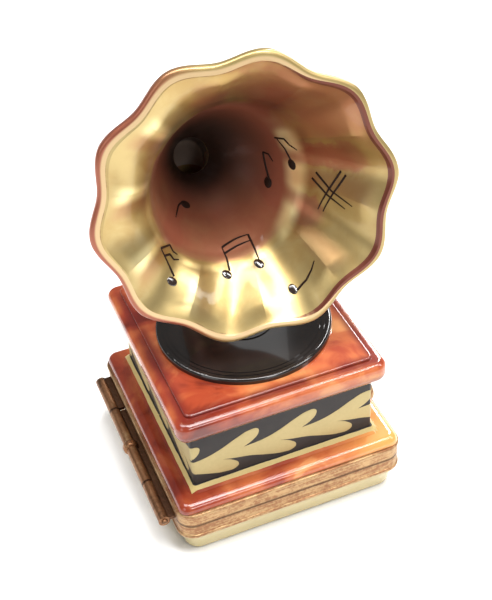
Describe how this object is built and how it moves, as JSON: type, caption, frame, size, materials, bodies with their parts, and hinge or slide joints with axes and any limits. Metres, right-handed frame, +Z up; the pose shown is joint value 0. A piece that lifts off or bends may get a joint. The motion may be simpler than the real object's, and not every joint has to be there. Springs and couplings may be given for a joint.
{
  "type": "hinged gramophone trinket box",
  "caption": "Small hinged porcelain box shaped as a table gramophone: shallow tray, brass mounts with hinge and clasp, hollow cabinet lid with record and fluted horn.",
  "frame": {"origin": "on the table under the middle of the closed box", "axes": "+Z up; the record and the horn's mouth face -Y, the front; the hinge runs along Y on the -X side and the clasp is on the +X side"},
  "size_m": [0.0465, 0.0459, 0.0782],
  "materials": {
    "tray_porcelain": "glazed cream-gold porcelain",
    "marbled_porcelain": "glossy marbled red-brown glaze, black frieze with gilt leaves",
    "gilt_porcelain": "burnished gilt porcelain, coppery to black in the throat",
    "record_glaze": "glossy black glaze",
    "cement": "matt white cement",
    "mount_brass": "aged gilt brass",
    "pin_steel": "drawn brass wire"
  },
  "bodies": {
    "base": {"base_tray": "tray_porcelain", "lower_mount": "mount_brass", "lower_bedding": "cement", "middle_barrel": "mount_brass", "barrel_bead": "mount_brass", "hinge_pin": "pin_steel", "catch_plate": "mount_brass", "catch_stud": "mount_brass"},
    "lid": {"upper_mount": "mount_brass", "upper_bedding": "cement", "cabinet_body": "marbled_porcelain", "cabinet_top": "marbled_porcelain", "record_disc": "record_glaze", "horn_bell": "gilt_porcelain", "horn_neck": "gilt_porcelain", "horn_socket": "gilt_porcelain", "front_barrel": "mount_brass", "rear_barrel": "mount_brass", "clasp_tongue": "mount_brass", "clasp_button": "mount_brass"}
  },
  "joints": [
    {"name": "lid_hinge", "type": "hinge", "parent": "base", "child": "lid", "pos_m": [-0.0217, 0, 0.00713], "axis": [0, -1, 0], "range_deg": [0, 82]}
  ]
}
